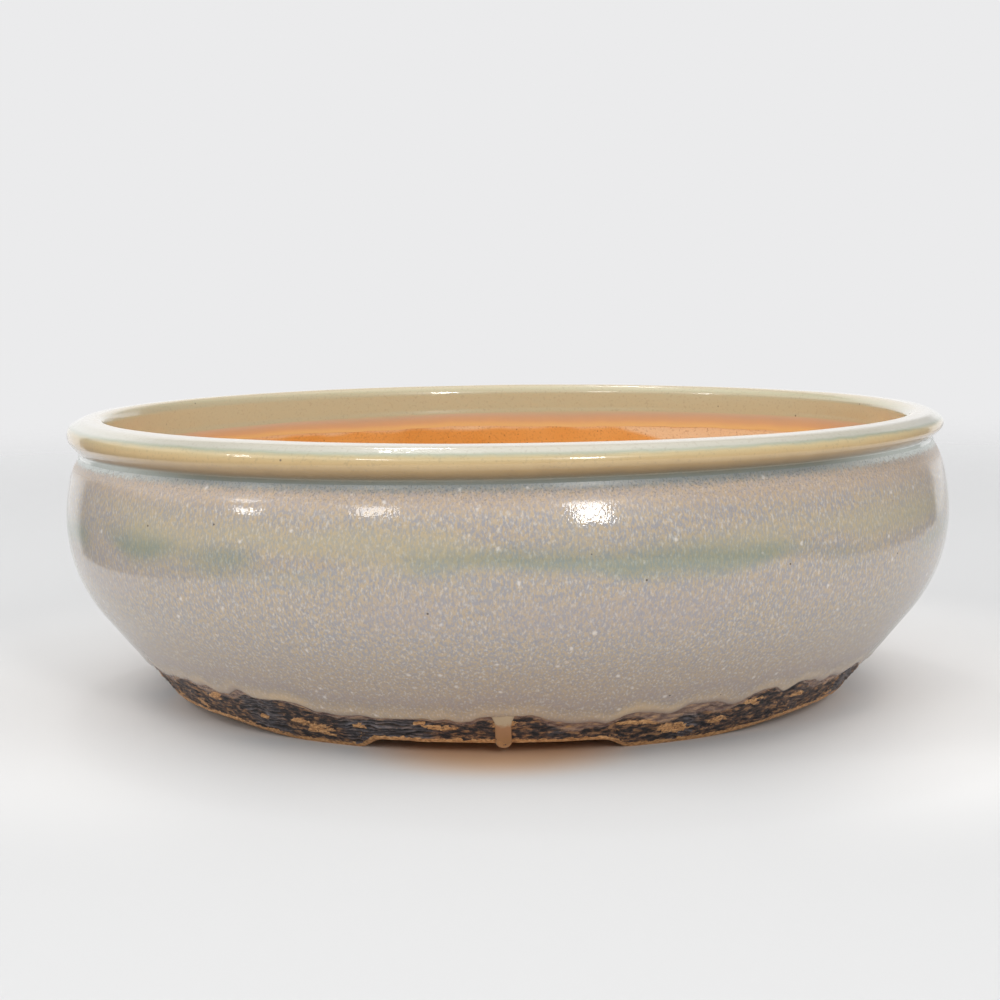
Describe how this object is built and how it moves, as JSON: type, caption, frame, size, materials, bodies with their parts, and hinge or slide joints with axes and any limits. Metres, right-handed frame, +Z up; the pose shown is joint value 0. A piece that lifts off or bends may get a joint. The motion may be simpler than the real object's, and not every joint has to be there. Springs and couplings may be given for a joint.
{
  "type": "bonsai pot",
  "caption": "Low round stoneware bonsai pot with a bellied glazed wall, rolled lip, torn unglazed base band, low cut feet, drain holes and tie-wire holes.",
  "frame": {"origin": "on the pot's axis, in the plane that the feet stand on", "axes": "+Z up along the pot's axis, -Y towards the front, +X to the right seen from the front"},
  "size_m": [0.25, 0.25, 0.0793],
  "materials": {
    "fired_clay": "matte, fired orange",
    "stained_clay": "matte, torn, oxide stained",
    "mottled_glaze": "glossy, mottled",
    "lip_glaze": "glossy",
    "inner_glaze": "glossy, thin"
  },
  "bodies": {
    "root": {"floor_disc": "fired_clay", "lower_wall": "fired_clay", "shoulder": "fired_clay", "rim_lip": "fired_clay", "base_band": "stained_clay", "outer_glaze": "mottled_glaze", "lip_glaze": "lip_glaze", "inner_glaze": "inner_glaze", "glaze_drip": "mottled_glaze", "foot_1": "stained_clay", "foot_2": "stained_clay", "foot_3": "stained_clay", "foot_4": "stained_clay", "foot_5": "stained_clay", "foot_6": "stained_clay"}
  },
  "joints": []
}
